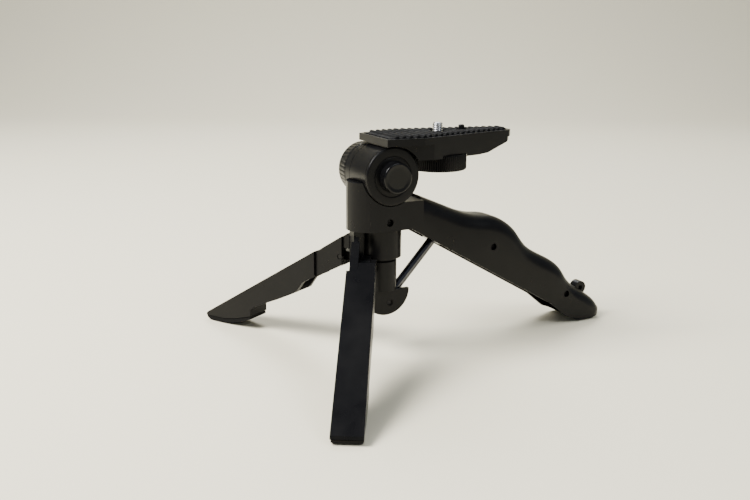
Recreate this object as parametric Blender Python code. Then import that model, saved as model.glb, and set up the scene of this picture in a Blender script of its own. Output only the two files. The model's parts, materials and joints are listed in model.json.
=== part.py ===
"""Folding pistol-grip table tripod with a tilting camera platform.

Metres, +Z up. +X points along the grip leg and the tilt barrel lies along Y.
Sizes below are measured from the column's axis, with the floor at FLOOR_Z;
CENTRE_SHIFT then moves the whole object onto the world's origin.
"""
import math

import bmesh
import bpy
from mathutils import Matrix, Vector

GAP = 0.0003            # clearance between neighbouring pieces
OVERSHOOT = 0.002       # how far a cutter passes the face it opens
WIDE = 0.03             # half width of a cutter that spans any piece
FLOOR_Z = 0.0024        # height of the floor in the design

# --- tilt barrel ---------------------------------------------------------
BARREL_Z = 0.11585
BARREL_R = 0.0176
SADDLE_R = 0.0180
SEAM = 0.00001          # keeps a saddle's end off the drum's own face
HUB_FRONT_Y = -0.0124
HUB_BACK_Y = 0.0086
COVER_FRONT_Y = -0.0148
CAP_BASE_R = 0.0098
CAP_FACE_R = 0.0088
CAP_FACE_Y = -0.0212
EAR_BACK_Y = 0.0144
KNOB_BACK_Y = 0.0290
BOLT_R = 0.0038
BOLT_BORE_R = 0.0041

# --- neck and grip leg ---------------------------------------------------
SHELL_HALF_WIDTH = 0.0142
SHELL_WALL = 0.0016
NECK_BOTTOM_Z = 0.0828
NECK_TOP_Z = 0.1125
NECK_CENTRE_X = -0.006
NECK_REAR_REACH = 0.0168
NECK_FRONT_X = 0.0215
GRIP_SLOPE = math.radians(30)
GRIP_START = Vector((0.0227, 0.0, 0.0775))   # a point on the grip's lower edge
GRIP_EDGE_R = 0.0095
GRIP_HOLLOW = (-0.0105, 0.1400)      # span of the hollow along the grip
GRIP_HOLLOW_INSET = 0.0022
GRIP_HOLLOW_R = 0.0075
# side view of the rounded toe under the grip's end, and the plan radius there
TOE_OUTLINE = (
    (0.1180, 0.0240), (0.1265, 0.0170), (0.1317, 0.0127), (0.1372, 0.0083),
    (0.1454, 0.0052), (0.1520, 0.0040), (0.1560, 0.0110), (0.1400, 0.0240))
BELOW_SOLE = (
    (0.1450, -0.0500), (0.1450, 0.0030), (0.1520, 0.0041), (0.1600, 0.0040),
    (0.1660, 0.0044), (0.1690, 0.0052), (0.1710, 0.0068), (0.2100, 0.0068),
    (0.2100, -0.0500))
FOOT_PAD_OUTLINE = (
    (0.1478, 0.0037), (0.1492, 0.0030), (0.1520, FLOOR_Z), (0.1625, FLOOR_Z),
    (0.1652, 0.0028), (0.1664, 0.0039), (0.1600, 0.0036), (0.1520, 0.0035))
FOOT_PAD_HALF_WIDTH = 0.0112
NOSE_X = 0.1705
NOSE_R = 0.0095
# distance along the grip, then its depth there: the finger grooves
GRIP_DEPTHS = (
    (-0.0140, 0.0205), (0.0024, 0.0225), (0.0219, 0.0250), (0.0330, 0.0280),
    (0.0430, 0.0322), (0.0535, 0.0336), (0.0640, 0.0322), (0.0720, 0.0290),
    (0.0800, 0.0265), (0.0900, 0.0261), (0.1050, 0.0266), (0.1140, 0.0252),
    (0.1225, 0.0215), (0.1310, 0.0192), (0.1450, 0.0187), (0.1550, 0.0176),
    (0.1620, 0.0148), (0.1670, 0.0120), (0.1740, 0.0090))
GRIP_STEP = 0.0035
# side view of the hollow that takes the folding collar
NECK_HOLLOW = (
    (-0.0138, 0.0808), (0.0240, 0.0808), (0.0240, 0.0899), (0.0106, 0.0977),
    (-0.0138, 0.1010))

# --- folding column ------------------------------------------------------
PIVOT = Vector((-0.0015, 0.0, 0.0880))
PIVOT_BOSS_R = 0.0040
PIVOT_SCREW_R = 0.0015
PIVOT_BORE_R = 0.0019
COLLAR_R = 0.01225
COLLAR_TOP_Z = 0.0822
COLLAR_BOTTOM_Z = 0.0646
EYE_R = 0.0058
EYE_HALF_WIDTH = 0.0075
LOWER_COLUMN_R = 0.0095
BLOCK_CENTRE_X = 0.001
BLOCK_TOP_Z = 0.0430
BLOCK_R = 0.0158
BLOCK_HALF_WIDTH = 0.0058
STRUT_PIN = Vector((0.0034, 0.0, 0.0350))
STRUT_ANGLE = math.radians(42.5)        # from upright when open
STRUT_LENGTH = 0.0515
STRUT_R = 0.0028
STRUT_PIN_BORE_R = 0.0016
CLEVIS_HALF_SLOT = 0.0033
STUD_R = 0.0019
STUD_BORE_R = 0.0022

# --- side legs: outlines are (reach from the hub, Z) ----------------------
LEG_ORIGIN_X = -0.0115
LEG_AZIMUTH = math.radians(120.3)
LEG_HALF_WIDTH = 0.0085
LEG_WALL = 0.0018
LEG_PIN_REACH = 0.0140
LEG_PIN_Z = 0.0643
LEG_PIN_R = 0.0015
LEG_PIN_BORE_R = 0.00175
CHEEK_INNER = 0.0020    # the tall cheek stands on the rear side of each leg
CHEEK_OUTER = 0.0069
EAR_INNER = 0.0047
HEAD_REAR = 0.0069      # the head is set in from the leg's full width
HEAD_FRONT = 0.0081
LUG_REAR = 0.0016       # the carrier's lug fills the space between cheek and ear
LUG_FRONT = 0.0043
LEG_OUTLINE = (
    (0.0325, 0.0652), (0.1243, 0.0089), (0.1258, 0.0078), (0.1263, 0.0060),
    (0.1100, 0.0063), (0.1000, 0.0081), (0.0920, 0.0103), (0.0863, 0.0121),
    (0.0863, 0.0168), (0.0829, 0.0190), (0.0724, 0.0241), (0.0621, 0.0286),
    (0.0530, 0.0330), (0.0475, 0.0358), (0.0445, 0.0400), (0.0422, 0.0432),
    (0.0374, 0.0460), (0.0325, 0.0484))
LEG_HEAD = (
    (0.0260, 0.0683), (0.0345, 0.0630), (0.0345, 0.0480), (0.0260, 0.0520))
LEG_HOLLOW = (
    (0.0285, 0.0640), (0.0840, 0.0304), (0.0840, -0.0100), (0.0285, -0.0100))
FOOT_HOLLOW = (
    (0.0885, 0.0277), (0.1150, 0.0114), (0.1150, -0.0100), (0.0885, -0.0100))
CHEEK_OUTLINE = (
    (0.0125, 0.0592), (0.0125, 0.0774), (0.0265, 0.0685), (0.0330, 0.0640),
    (0.0330, 0.0486), (0.0201, 0.0550))
TONGUE_OUTLINE = (
    (0.0078, 0.0700), (0.0078, 0.0788), (0.0090, 0.0795), (0.0130, 0.0770),
    (0.0130, 0.0700))
EAR_OUTLINE = (
    (0.0102, 0.0606), (0.0102, 0.0650), (0.0130, 0.0668), (0.0290, 0.0664),
    (0.0290, 0.0520), (0.0201, 0.0550))
LUG_OUTLINE = (
    (0.0015, 0.0625), (0.0015, 0.0664), (0.0140, 0.0673), (0.0140, 0.0613))
LUG_EYE_R = 0.0030
LEG_FOOT_OUTLINE = (
    (0.1262, 0.0057), (0.1255, 0.0040), (0.1230, 0.0028), (0.1195, 0.0024),
    (0.1150, 0.0025), (0.1095, 0.0030), (0.1030, 0.0042), (0.0957, 0.0063),
    (0.0900, 0.0083), (0.0866, 0.0098), (0.0866, 0.0117), (0.0920, 0.0100),
    (0.1000, 0.0078), (0.1100, 0.0060))

# --- camera platform -----------------------------------------------------
PLATE_TOP_Z = 0.1386
PLATE_RIM_BOTTOM_Z = 0.1344
PAD_FLOOR_Z = 0.1379
PAD_RIB_TOP_Z = 0.1402
PAD_INSET = 0.0017
PAD_RIB_PITCH = 0.0044
PLATE_LEFT_X = -0.0062
PLATE_WIDE_X = 0.0175
PLATE_RIGHT_X = 0.0905
PLATE_LEFT_HALF = 0.0187
PLATE_WIDE_HALF = 0.0216
PLATE_RIGHT_HALF = 0.0068
SKIRT_INSET = 0.0007
SKIRT_TOP_Z = 0.1366
SKIRT_OUTLINE = (       # side view of the deep body under the plate
    (-0.0040, 0.1360), (-0.0040, 0.1250), (0.0620, 0.1249), (0.0700, 0.1255),
    (0.0785, 0.1283), (0.0865, 0.1309), (0.0897, 0.1318), (0.0897, 0.1360))
SKIRT_WAIST = ((-0.0060, 0.0150), (0.0110, 0.0166), (0.0250, 0.0194))   # X, half width
BELOW_PLATE_Z = 0.1000   # cutters run between these two heights
ABOVE_PLATE_Z = 0.1500
BOLT_HEAD_POCKET_R = 0.0072
BOLT_HEAD_POCKET_DEPTH = 0.0046
WASHER_SEAT_R = 0.0112
WASHER_SEAT_DEPTH = 0.0010
PAD_BASE_TOP_Z = 0.1391
PAD_SCREW_HOLE_R = 0.0052
PAD_PIN_HOLE_R = 0.0030
RIB_GAP_SHARE = 0.45    # part of the pitch taken by the groove between ribs
SCREW_X = 0.0384
SCREW_R = 0.00317
SCREW_TOP_Z = 0.1449
SCREW_BORE_R = 0.00357
THREAD_ROOT_R = 0.00262
THREAD_PITCH = 0.00127
THREAD_START_Z = 0.1385
WHEEL_R = 0.0185
WHEEL_BOTTOM_Z = 0.1165
WHEEL_TOP_Z = 0.1265
WHEEL_CLEARANCE = 0.0006
WHEEL_KNURL = 0.0008
WHEEL_DISH_R = 0.0125
WHEEL_DISH_DEPTH = 0.0030
WHEEL_HUB_R = 0.0060
RETAINER_R = 0.0053
RETAINER_SEAT_R = 0.0058
RETAINER_THICKNESS = 0.0010
VIDEO_PIN_X = 0.0558
VIDEO_PIN_R = 0.0019
VIDEO_PIN_TOP_Z = 0.1428
VIDEO_PIN_BOSS_R = 0.0033
VIDEO_PIN_SEAT_Z = 0.1348
VIDEO_PIN_FOOT_R = 0.0030
VIDEO_PIN_FOOT_Z = 0.1333
VIDEO_PIN_STEP_Z = 0.1345
PIN_PLUG_R = 0.0031
PIN_PLUG_Z = (0.1270, 0.1279)
PIN_SPRING_Z = (0.1286, 0.1327)
PIN_SPRING_R = 0.0022
PIN_SPRING_WIRE = 0.0003
PIN_SPRING_TURNS = 4

# screws that close the two shells: place along X, Z on the side face
SHELL_SCREWS = {"grip_screw_upper": (0.0742, 0.0648), "grip_screw_lower": (0.1366, 0.0244)}
SCREW_HOLE_R = 0.0023
SCREW_HEAD_R = 0.0020
SCREW_SHANK_R = 0.0012
SCREW_BORE_SHANK_R = 0.0016
SHELL_SCREW_SEAT_Y = -0.0100
SHELL_SCREW_TIP_Y = 0.0112
SHELL_SCREW_BORE_Y = 0.0118
BOSS_R = 0.0034

# ring for the wrist strap
STRAP_ALONG = 0.1443
STRAP_UP = 0.0204
STRAP_R = 0.0047
STRAP_HOLE_R = 0.0017
STRAP_HALF_WIDTH = 0.0030

# moves the whole object so that its box is centred on the world origin
CENTRE_SHIFT = Vector((-0.0440, 0.0, -FLOOR_Z))


# --- small tools ---------------------------------------------------------
def clear_scene():
    for obj in list(bpy.data.objects):
        bpy.data.objects.remove(obj, do_unlink=True)


def make_material(name, colour, roughness, metallic=0.0):
    mat = bpy.data.materials.new(name)
    mat.use_nodes = True
    bsdf = mat.node_tree.nodes["Principled BSDF"]
    bsdf.inputs["Base Color"].default_value = (*colour, 1.0)
    bsdf.inputs["Roughness"].default_value = roughness
    bsdf.inputs["Metallic"].default_value = metallic
    mat.diffuse_color = (*colour, 1.0)
    return mat


def new_solid(bm):
    """A temporary object holding bm, with every face turned outward."""
    bmesh.ops.remove_doubles(bm, verts=bm.verts, dist=1e-7)
    bmesh.ops.recalc_face_normals(bm, faces=bm.faces)
    mesh = bpy.data.meshes.new("solid")
    bm.to_mesh(mesh)
    bm.free()
    obj = bpy.data.objects.new("solid", mesh)
    bpy.context.collection.objects.link(obj)
    return obj


def combine(base, tool, operation):
    """Bake an exact boolean of two solids into base and remove the tool."""
    mod = base.modifiers.new("combine", "BOOLEAN")
    mod.operation = operation
    mod.solver = "EXACT"
    mod.object = tool
    bpy.context.view_layer.update()
    graph = bpy.context.evaluated_depsgraph_get()
    mesh = bpy.data.meshes.new_from_object(base.evaluated_get(graph))
    base.modifiers.clear()
    base.data = mesh
    bpy.data.objects.remove(tool, do_unlink=True)
    return base


def cut(base, *tools):
    for tool in tools:
        combine(base, tool, "DIFFERENCE")
    return base


def join(base, *tools):
    for tool in tools:
        combine(base, tool, "UNION")
    return base


def prism(outline, low, high, axis="Y"):
    """A straight prism: outline in XZ along Y, or in XY along Z."""
    bm = bmesh.new()
    place = (lambda a, b, c: (a, c, b)) if axis == "Y" else (lambda a, b, c: (a, b, c))
    ends = [[bm.verts.new(place(a, b, c)) for a, b in outline] for c in (low, high)]
    for ring in ends:
        bm.faces.new(ring)
    count = len(outline)
    for i in range(count):
        j = (i + 1) % count
        bm.faces.new((ends[0][i], ends[0][j], ends[1][j], ends[1][i]))
    return new_solid(bm)


def box(low, high):
    outline = ((low[0], low[2]), (high[0], low[2]), (high[0], high[2]), (low[0], high[2]))
    return prism(outline, low[1], high[1])


def turned(profile, centre, axis="Z", segments=48):
    """A solid of revolution: profile is (radius, distance along the axis)."""
    bm = bmesh.new()
    rings = []
    for radius, height in profile:
        ring = []
        for k in range(segments):
            angle = 2 * math.pi * k / segments
            ring.append(bm.verts.new((radius * math.cos(angle), radius * math.sin(angle), height)))
        rings.append(ring)
    for lower, upper in zip(rings, rings[1:]):
        for k in range(segments):
            j = (k + 1) % segments
            bm.faces.new((lower[k], lower[j], upper[j], upper[k]))
    bm.faces.new(rings[0])
    bm.faces.new(rings[-1])
    turn = {"Z": Matrix(), "Y": Matrix.Rotation(math.radians(-90), 4, "X"),
            "X": Matrix.Rotation(math.radians(90), 4, "Y")}[axis]
    bm.transform(Matrix.Translation(centre) @ turn)
    return new_solid(bm)


def rod(radius, low, high, centre, axis="Z", segments=24):
    return turned(((radius, low), (radius, high)), centre, axis, segments)


def barrel_slice(radius, low, high, segments=64):
    return rod(radius, low, high, (0, 0, BARREL_Z), "Y", segments)


def finish(obj, name, mat, origin=(0, 0, 0), parent=None):
    """Name a piece, give it its material and put its origin on its joint."""
    origin = Vector(origin)
    obj.name = name
    obj.data.name = name
    obj.data.materials.clear()
    obj.data.materials.append(mat)
    obj.data.transform(Matrix.Translation(-origin))
    obj.location = origin
    place_under(obj, origin, parent)
    return obj


def place_under(obj, position, parent):
    """Put obj at a design position, under its joint's empty or in the world."""
    obj.parent = parent
    base = Vector(parent["design_position"]) if parent else -CENTRE_SHIFT
    obj.location = Vector(position) - base


def joint_empty(name, position, parent=None):
    empty = bpy.data.objects.new(name, None)
    empty.empty_display_size = 0.01
    empty["design_position"] = tuple(position)
    bpy.context.collection.objects.link(empty)
    place_under(empty, position, parent)
    return empty


def smooth_depth(distance):
    """Depth of the grip at a distance along it, eased between the given points."""
    points = GRIP_DEPTHS
    if distance <= points[0][0]:
        return points[0][1]
    for i in range(len(points) - 1):
        (s0, d0), (s1, d1) = points[i], points[i + 1]
        if distance <= s1:
            before = points[i - 1] if i else points[0]
            after = points[min(i + 2, len(points) - 1)]
            m0 = (d1 - before[1]) / (s1 - before[0])
            m1 = (after[1] - d0) / (after[0] - s0)
            t = (distance - s0) / (s1 - s0)
            h = s1 - s0
            return ((2 * t**3 - 3 * t**2 + 1) * d0 + (t**3 - 2 * t**2 + t) * h * m0
                    + (3 * t**2 - 2 * t**3) * d1 + (t**3 - t**2) * h * m1)
    return points[-1][1]


def grip_point(along, across, up):
    """From the grip's own frame (along it, across it, up from its lower edge)."""
    cos, sin = math.cos(GRIP_SLOPE), math.sin(GRIP_SLOPE)
    return Vector((GRIP_START.x + along * cos + up * sin, across,
                   GRIP_START.z - along * sin + up * cos))


def grip_section(half_width, depth, edge_radius, floor, steps=6):
    """Half of one cross-section, from the lower edge up and over the rounded top."""
    points = [(-half_width, floor), (-half_width, depth - edge_radius)]
    for k in range(1, steps + 1):
        angle = math.pi / 2 * k / steps
        points.append((-half_width + edge_radius * (1 - math.cos(angle)),
                       depth - edge_radius + edge_radius * math.sin(angle)))
    return points + [(-y, n) for y, n in reversed(points)]


def grip_loft(start, end, half_width, inset, edge_radius, floor):
    """Sweep the cross-section along the grip leg between two distances."""
    bm = bmesh.new()
    count = max(2, round((end - start) / GRIP_STEP))
    rings = []
    for i in range(count + 1):
        s = start + (end - start) * i / count
        section = grip_section(half_width, smooth_depth(s) - inset, edge_radius, floor)
        rings.append([bm.verts.new(grip_point(s, y, n)) for y, n in section])
    size = len(rings[0])
    for a, b in zip(rings, rings[1:]):
        for k in range(size):
            j = (k + 1) % size
            bm.faces.new((a[k], a[j], b[j], b[k]))
    bm.faces.new(rings[0])
    bm.faces.new(rings[-1])
    return new_solid(bm)


# --- neck and grip shells ------------------------------------------------
def neck_outline(reach, half_width, front_x, steps=14):
    """Plan of the neck: flat sides, an elliptical back, open-ended to the grip."""
    points = [(front_x, -half_width)]
    for k in range(steps + 1):
        angle = -math.pi / 2 - math.pi * k / steps
        points.append((NECK_CENTRE_X + reach * math.cos(angle), half_width * math.sin(angle)))
    points.append((front_x, half_width))
    return points


def nose_outline(steps=8):
    """Plan of neck and grip together, with the rounded nose at its end."""
    points = [(-0.05, -SHELL_HALF_WIDTH)]
    for side in (-1, 1):
        turn = [math.pi / 2 * k / steps for k in range(steps + 1)]
        for angle in (turn if side < 0 else reversed(turn)):
            points.append((NOSE_X - NOSE_R + NOSE_R * math.sin(angle),
                           side * (SHELL_HALF_WIDTH - NOSE_R + NOSE_R * math.cos(angle))))
    return points + [(-0.05, SHELL_HALF_WIDTH)]


def grip_leg():
    """The solid grip leg with its toe and rounded nose."""
    side = SHELL_HALF_WIDTH - 0.00002
    leg = grip_loft(-0.0120, GRIP_DEPTHS[-1][0], side, 0.0, GRIP_EDGE_R, 0.0)
    join(leg, prism(TOE_OUTLINE, -side, side))
    combine(leg, prism(nose_outline(), -0.01, 0.12, "Z"), "INTERSECT")
    return cut(leg, prism(BELOW_SOLE, -WIDE, WIDE))


def grip_body():
    """The whole outer form of neck, ear and grip leg before it is split."""
    outline = neck_outline(NECK_REAR_REACH, SHELL_HALF_WIDTH, NECK_FRONT_X)
    body = prism(outline, NECK_BOTTOM_Z, NECK_TOP_Z, "Z")
    over_leg = box((0.0030, -WIDE, 0.1000), (0.04, WIDE, 0.12))
    cut(body, over_leg)
    ear = barrel_slice(BARREL_R, HUB_BACK_Y - 0.0010, EAR_BACK_Y)
    join(body, grip_leg(), ear)
    drum = barrel_slice(SADDLE_R, -WIDE, HUB_BACK_Y + GAP)
    return cut(body, drum, barrel_slice(BOLT_BORE_R, -WIDE, WIDE, 32))


def grip_hollow():
    """The spaces inside neck and grip, open below for the folded column."""
    inner = SHELL_HALF_WIDTH - SHELL_WALL
    grip = grip_loft(*GRIP_HOLLOW, inner, GRIP_HOLLOW_INSET, GRIP_HOLLOW_R, -2 * OVERSHOOT)
    neck = prism(NECK_HOLLOW, -inner + 0.00003, inner - 0.00003)
    ceiling = barrel_slice(SADDLE_R + SHELL_WALL, -WIDE, WIDE)
    return cut(neck, ceiling), grip


def screw_boss(place, near):
    """A moulded post for a shell screw."""
    x, z = place
    inner = SHELL_HALF_WIDTH - SHELL_WALL / 2
    span = (-inner, -GAP / 2) if near else (GAP / 2, inner)
    return rod(BOSS_R, span[0], span[1], (x, 0, z), "Y")


def shell_half(name, mat, near):
    """One moulded half of the grip, split along the middle plane."""
    half = cut(grip_body(), *grip_hollow())
    low, high = (-GAP / 2, 0.05) if near else (-0.05, GAP / 2)
    cut(half, box((-0.05, low, -0.02), (0.22, high, 0.15)))
    inner = SHELL_HALF_WIDTH - SHELL_WALL / 2
    for place in SHELL_SCREWS.values():
        join(half, screw_boss(place, near))
    pivot_place = (PIVOT.x, PIVOT.z)
    side = -1 if near else 1
    ends = sorted((side * inner, side * (EYE_HALF_WIDTH + GAP)))
    join(half, rod(PIVOT_BOSS_R, ends[0], ends[1], (pivot_place[0], 0, pivot_place[1]), "Y"))
    for x, z in list(SHELL_SCREWS.values()) + [pivot_place]:
        through = SCREW_BORE_SHANK_R if (x, z) != pivot_place else PIVOT_BORE_R
        cut(half, rod(through, -WIDE, SHELL_SCREW_BORE_Y, (x, 0, z), "Y"))
        if near:
            cut(half, rod(SCREW_HOLE_R, -WIDE, SHELL_SCREW_SEAT_Y, (x, 0, z), "Y"))
    return finish(half, name, mat)


def shell_screw(name, place, mat, shank_radius):
    """A pan-head screw with a cross slot, sunk in its hole."""
    x, z = place
    seat = SHELL_SCREW_SEAT_Y - GAP
    screw = turned(((shank_radius, SHELL_SCREW_TIP_Y), (shank_radius, seat), (SCREW_HEAD_R, seat),
                    (SCREW_HEAD_R, seat - 0.0014), (SCREW_HEAD_R * 0.7, seat - 0.0019)),
                   (x, 0, z), "Y", 24)
    for half_x, half_z in ((0.0013, 0.0003), (0.0003, 0.0013)):
        cut(screw, box((x - half_x, seat - OVERSHOOT - GAP, z - half_z),
                       (x + half_x, seat - 0.0012, z + half_z)))
    return finish(screw, name, mat)


def grip_foot_pad(mat):
    """Rubber pad under the toe of the grip leg."""
    pad = prism(FOOT_PAD_OUTLINE, -FOOT_PAD_HALF_WIDTH, FOOT_PAD_HALF_WIDTH)
    return finish(pad, "grip_foot_pad", mat)


def strap_lug(mat):
    """Ring for a wrist strap on the grip's top, near its end."""
    centre = grip_point(STRAP_ALONG, 0.0, STRAP_UP)
    lug = prism(strap_outline(centre), -STRAP_HALF_WIDTH, STRAP_HALF_WIDTH)
    cut(lug, rod(STRAP_HOLE_R, -0.01, 0.01, (centre.x, 0, centre.z), "Y"))
    return finish(lug, "strap_lug", mat)


def strap_outline(centre, steps=12):
    """A rounded ear on a short root that stands on the grip's top."""
    points = []
    for k in range(steps + 1):
        angle = math.radians(150) - math.radians(180) * k / steps
        points.append((centre.x + STRAP_R * math.cos(angle), centre.z + STRAP_R * math.sin(angle)))
    for along in (STRAP_ALONG + STRAP_R, STRAP_ALONG, STRAP_ALONG - STRAP_R):
        root = grip_point(along, 0.0, smooth_depth(along) + GAP)
        points.append((root.x, root.z))
    return points


# --- camera platform -----------------------------------------------------
def plate_outline(inset=0.0):
    """Plan of the platform: a broad boat that narrows away from the barrel."""
    left, right = PLATE_LEFT_X + inset, PLATE_RIGHT_X - inset
    return (
        (left, -PLATE_LEFT_HALF + inset), (PLATE_WIDE_X, -PLATE_WIDE_HALF + inset),
        (right - 0.0030, -PLATE_RIGHT_HALF + inset), (right, -PLATE_RIGHT_HALF + inset + 0.0030),
        (right, PLATE_RIGHT_HALF - inset - 0.0030), (right - 0.0030, PLATE_RIGHT_HALF - inset),
        (PLATE_WIDE_X, PLATE_WIDE_HALF - inset), (left, PLATE_LEFT_HALF - inset))


def skirt_plan():
    """Plan of the skirt: the plate's own taper, drawn in beside the tilt drums."""
    near = [(x, -half) for x, half in SKIRT_WAIST]
    return near + list(plate_outline(SKIRT_INSET)[2:6]) + [(x, -y) for x, y in reversed(near)]


def platform_skirt():
    """Deep body under the plate, flush with its rim and cut clear of the tilt drums."""
    skirt = prism(SKIRT_OUTLINE, -WIDE, WIDE)
    combine(skirt, prism(skirt_plan(), 0.11, SKIRT_TOP_Z, "Z"), "INTERSECT")
    cut(skirt,
        barrel_slice(SADDLE_R, HUB_BACK_Y + SEAM, WIDE),
        barrel_slice(SADDLE_R, -WIDE, HUB_FRONT_Y - SEAM))
    return skirt


def camera_platform(mat, parent):
    """Plate, tapering skirt and tilt hub in one moulding."""
    plate = prism(plate_outline(), PLATE_RIM_BOTTOM_Z, PLATE_TOP_Z, "Z")
    join(plate, platform_skirt(), barrel_slice(BARREL_R, HUB_FRONT_Y, HUB_BACK_Y))
    cut(plate,
        rod(VIDEO_PIN_BOSS_R, BELOW_PLATE_Z, VIDEO_PIN_SEAT_Z, (VIDEO_PIN_X, 0, 0)),
        rod(VIDEO_PIN_R + GAP, BELOW_PLATE_Z, ABOVE_PLATE_Z, (VIDEO_PIN_X, 0, 0)),
        barrel_slice(BOLT_BORE_R, -WIDE, WIDE, 32),
        barrel_slice(BOLT_HEAD_POCKET_R, -WIDE, HUB_FRONT_Y + BOLT_HEAD_POCKET_DEPTH, 32),
        barrel_slice(WASHER_SEAT_R, HUB_BACK_Y - WASHER_SEAT_DEPTH, WIDE, 48),
        prism(plate_outline(PAD_INSET), PAD_FLOOR_Z, PLATE_TOP_Z + OVERSHOOT, "Z"),
        rod(WHEEL_R + WHEEL_CLEARANCE, BELOW_PLATE_Z, WHEEL_TOP_Z + GAP, (SCREW_X, 0, 0)),
        rod(SCREW_BORE_R, BELOW_PLATE_Z, ABOVE_PLATE_Z, (SCREW_X, 0, 0)),
        rod(RETAINER_SEAT_R, WHEEL_TOP_Z - RETAINER_THICKNESS,
            WHEEL_TOP_Z + RETAINER_THICKNESS + 2 * GAP, (SCREW_X, 0, 0)))
    return finish(plate, "camera_platform", mat, (0, 0, BARREL_Z), parent)


def platform_pad(mat, parent):
    """Ribbed rubber pad let into the top of the plate."""
    inset = PAD_INSET + GAP
    pad = prism(plate_outline(inset), PAD_FLOOR_Z + GAP, PAD_BASE_TOP_Z, "Z")
    ribs = prism(plate_outline(inset + 0.0002), PAD_BASE_TOP_Z - 0.0004, PAD_RIB_TOP_Z, "Z")
    start = PLATE_LEFT_X + 0.0042
    count = int((PLATE_RIGHT_X - start) / PAD_RIB_PITCH)
    for k in range(count):
        x = start + k * PAD_RIB_PITCH
        cut(ribs, box((x, -WIDE, PAD_BASE_TOP_Z),
                      (x + PAD_RIB_PITCH * RIB_GAP_SHARE, WIDE, PAD_RIB_TOP_Z + OVERSHOOT)))
    join(pad, ribs)
    cut(pad, rod(PAD_SCREW_HOLE_R, BELOW_PLATE_Z, ABOVE_PLATE_Z, (SCREW_X, 0, 0)),
        rod(PAD_PIN_HOLE_R, BELOW_PLATE_Z, ABOVE_PLATE_Z, (VIDEO_PIN_X, 0, 0)))
    return finish(pad, "platform_pad", mat, (0, 0, BARREL_Z), parent)


def camera_screw(mat, parent):
    """Quarter-inch camera screw: thread rings, collar seat and square root."""
    shank_r = SCREW_R - 0.0001
    profile = [(shank_r, WHEEL_BOTTOM_Z + 0.0024), (shank_r, THREAD_START_Z - GAP)]
    crest = THREAD_START_Z
    while crest + THREAD_PITCH < SCREW_TOP_Z - 2 * GAP:
        profile += [(THREAD_ROOT_R, crest), (SCREW_R, crest + THREAD_PITCH * 0.45),
                    (SCREW_R, crest + THREAD_PITCH * 0.6)]
        crest += THREAD_PITCH
    profile += [(THREAD_ROOT_R, crest), (THREAD_ROOT_R - 0.0002, SCREW_TOP_Z)]
    screw = turned(profile, (SCREW_X, 0, 0), "Z", 32)
    return finish(screw, "camera_screw", mat, (SCREW_X, 0, BARREL_Z), parent)


def thumb_wheel(mat, parent, ridges=36):
    """Knurled wheel that turns the camera screw."""
    outline = []
    for k in range(ridges):
        for part, radius in ((0.0, WHEEL_R - WHEEL_KNURL), (0.28, WHEEL_R), (0.62, WHEEL_R)):
            angle = 2 * math.pi * (k + part) / ridges
            outline.append((SCREW_X + radius * math.cos(angle), radius * math.sin(angle)))
    wheel = prism(outline, WHEEL_BOTTOM_Z, WHEEL_TOP_Z, "Z")
    centre = (SCREW_X, 0, 0)
    cut(wheel, rod(WHEEL_DISH_R, WHEEL_BOTTOM_Z - OVERSHOOT, WHEEL_BOTTOM_Z + WHEEL_DISH_DEPTH,
                   centre, "Z", 48))
    join(wheel, rod(WHEEL_HUB_R, WHEEL_BOTTOM_Z + 0.0004, WHEEL_BOTTOM_Z + 0.0045, centre))
    cut(wheel, rod(SCREW_R + 0.0002, WHEEL_BOTTOM_Z + 0.0020, WHEEL_TOP_Z + OVERSHOOT,
                   centre, "Z", 32))
    return finish(wheel, "thumb_wheel", mat, (SCREW_X, 0, BARREL_Z), parent)


def screw_washer(mat, parent):
    """Snap ring between the wheel and the plate that keeps the screw in."""
    z = WHEEL_TOP_Z + GAP
    ring = rod(RETAINER_R, z, z + RETAINER_THICKNESS, (SCREW_X, 0, 0), "Z", 32)
    cut(ring, rod(SCREW_R + 0.0002, z - OVERSHOOT, z + 2 * OVERSHOOT, (SCREW_X, 0, 0), "Z", 32))
    return finish(ring, "screw_retaining_ring", mat, (SCREW_X, 0, BARREL_Z), parent)


def video_pin(mat, parent):
    """Sprung locating pin for a video camera."""
    pin = turned(((VIDEO_PIN_FOOT_R, VIDEO_PIN_FOOT_Z), (VIDEO_PIN_FOOT_R, VIDEO_PIN_STEP_Z),
                  (VIDEO_PIN_R, VIDEO_PIN_STEP_Z), (VIDEO_PIN_R, VIDEO_PIN_TOP_Z - 0.0006),
                  (VIDEO_PIN_R * 0.7, VIDEO_PIN_TOP_Z)),
                 (VIDEO_PIN_X, 0, 0), "Z", 24)
    return finish(pin, "video_pin", mat, (VIDEO_PIN_X, 0, VIDEO_PIN_FOOT_Z), parent)


def pin_spring(mat, parent):
    """Round-wire spring under the pin, one closed tube that winds up along Z."""
    bm = bmesh.new()
    steps, sides = PIN_SPRING_TURNS * 14, 6
    low, high = PIN_SPRING_Z
    wire = PIN_SPRING_WIRE
    rings = []
    for i in range(steps + 1):
        t = i / steps
        angle = 2 * math.pi * PIN_SPRING_TURNS * t
        out = Vector((math.cos(angle), math.sin(angle), 0))
        mid = out * PIN_SPRING_R + Vector((VIDEO_PIN_X, 0, low + (high - low) * t))
        ring = []
        for k in range(sides):
            a = 2 * math.pi * k / sides
            ring.append(bm.verts.new(mid + out * wire * math.cos(a) + Vector((0, 0, wire * math.sin(a)))))
        rings.append(ring)
    for a, b in zip(rings, rings[1:]):
        for k in range(sides):
            j = (k + 1) % sides
            bm.faces.new((a[k], a[j], b[j], b[k]))
    bm.faces.new(rings[0])
    bm.faces.new(rings[-1])
    return finish(new_solid(bm), "pin_spring", mat, (VIDEO_PIN_X, 0, low), parent)


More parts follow.
